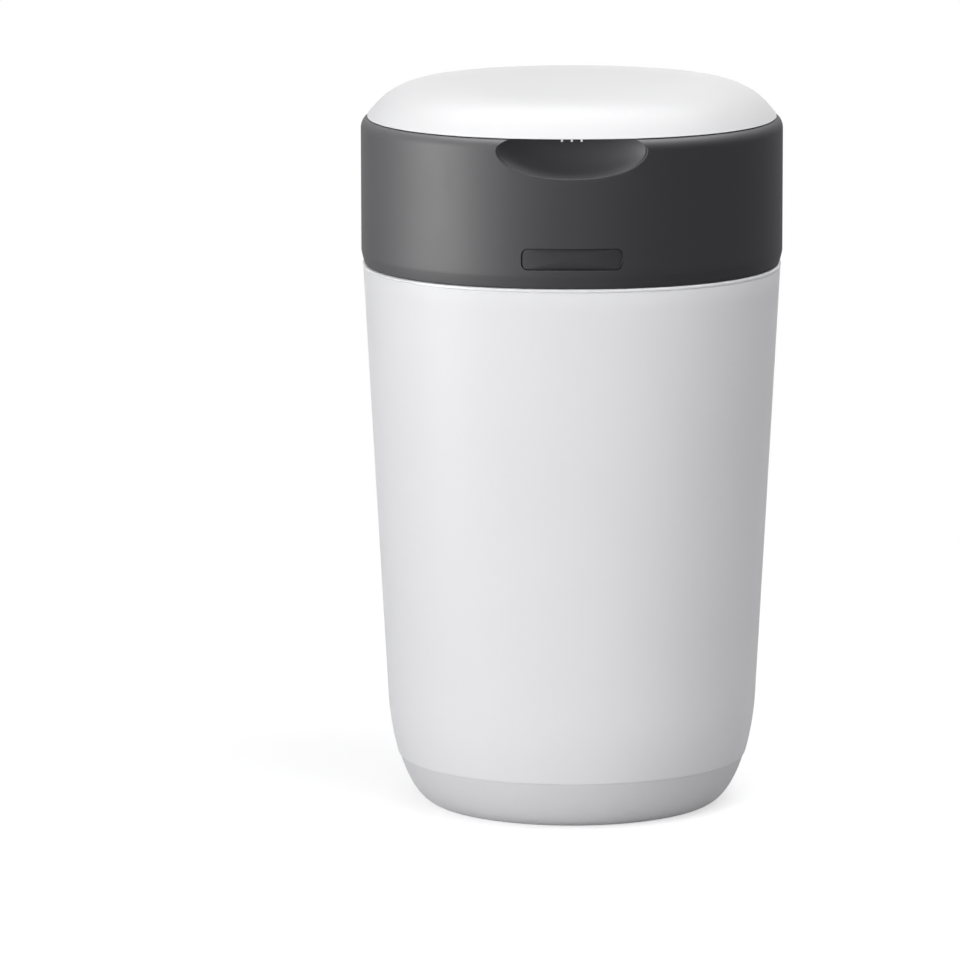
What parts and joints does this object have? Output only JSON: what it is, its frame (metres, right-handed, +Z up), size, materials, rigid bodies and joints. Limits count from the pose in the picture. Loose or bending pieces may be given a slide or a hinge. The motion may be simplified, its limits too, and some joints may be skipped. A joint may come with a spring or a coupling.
{
  "type": "nappy bin",
  "caption": "Tall tapered nappy bin: hinged head over a tub, domed lid, and a turning film cassette with petals and a cutter inside.",
  "frame": {"origin": "centre of the foot on the floor, under the middle of the bin", "axes": "+Z up, -Y towards the front with the finger scoop and the button, +X to the right seen from the front"},
  "size_m": [0.264, 0.256, 0.4587],
  "materials": {
    "white_gloss": "moulded white plastic, soft gloss",
    "white_satin": "moulded white plastic, satin",
    "rim_white": "moulded white plastic, satin",
    "head_dark": "dark warm grey plastic, satin",
    "button_dark": "darker grey plastic, satin",
    "chassis_grey": "mid grey plastic",
    "ring_white": "white plastic, soft gloss",
    "cassette_dark": "dark warm grey plastic, glossy",
    "film": "thin pleated film, pale green and white",
    "petal_rubber": "soft dark elastomer",
    "seal_rubber": "soft pale grey elastomer",
    "pin_steel": "plain steel",
    "blade_steel": "ground steel",
    "pawl_plastic": "natural acetal plastic"
  },
  "bodies": {
    "base": {"tub": "white_satin", "rim_ring": "rim_white", "head_hinge_pin": "pin_steel"},
    "head": {"head_cover": "head_dark", "lid_hinge_bracket": "head_dark", "head_chassis": "chassis_grey", "chassis_screws": "pin_steel", "gripper_ring": "petal_rubber", "gripper_clamp": "chassis_grey", "lid_hinge_pin": "pin_steel"},
    "lid": {"lid_shell": "white_gloss", "lid_liner": "white_satin", "lid_seal": "seal_rubber", "lid_screws": "pin_steel"},
    "rotor": {"turntable": "ring_white", "twist_ring": "ring_white", "cassette_cup": "cassette_dark", "cassette_tube": "cassette_dark", "cassette_top_ring": "cassette_dark", "film_pack": "film"},
    "cutter": {"cutter_ring": "ring_white", "cutter_blade": "blade_steel"},
    "button": {"release_button": "button_dark"},
    "pawl": {"click_pawl": "pawl_plastic"}
  },
  "joints": [
    {"name": "head_hinge", "type": "hinge", "parent": "base", "child": "head", "pos_m": [0, 0.12, 0.353], "axis": [-1, 0, 0], "range_deg": [0, 85]},
    {"name": "lid_hinge", "type": "hinge", "parent": "head", "child": "lid", "pos_m": [0, 0.118, 0.433], "axis": [-1, 0, 0], "range_deg": [0, 100]},
    {"name": "twist", "type": "hinge", "parent": "head", "child": "rotor", "pos_m": [0, 0, 0.37], "axis": [0, 0, 1], "continuous": true},
    {"name": "cutter_turn", "type": "hinge", "parent": "head", "child": "cutter", "pos_m": [0, 0, 0.35], "axis": [0, 0, 1], "continuous": true},
    {"name": "release_press", "type": "slide", "parent": "head", "child": "button", "axis": [0, 1, 0], "range_m": [0, 0.003], "stiffness_N_per_m": 600, "springref_m": -0.002},
    {"name": "pawl_swing", "type": "hinge", "parent": "head", "child": "pawl", "pos_m": [-0.07625, 0.07363, 0.368], "axis": [0, 0, -1], "range_deg": [0, 8], "stiffness_Nm_per_rad": 0.02, "springref_deg": -5.73}
  ]
}
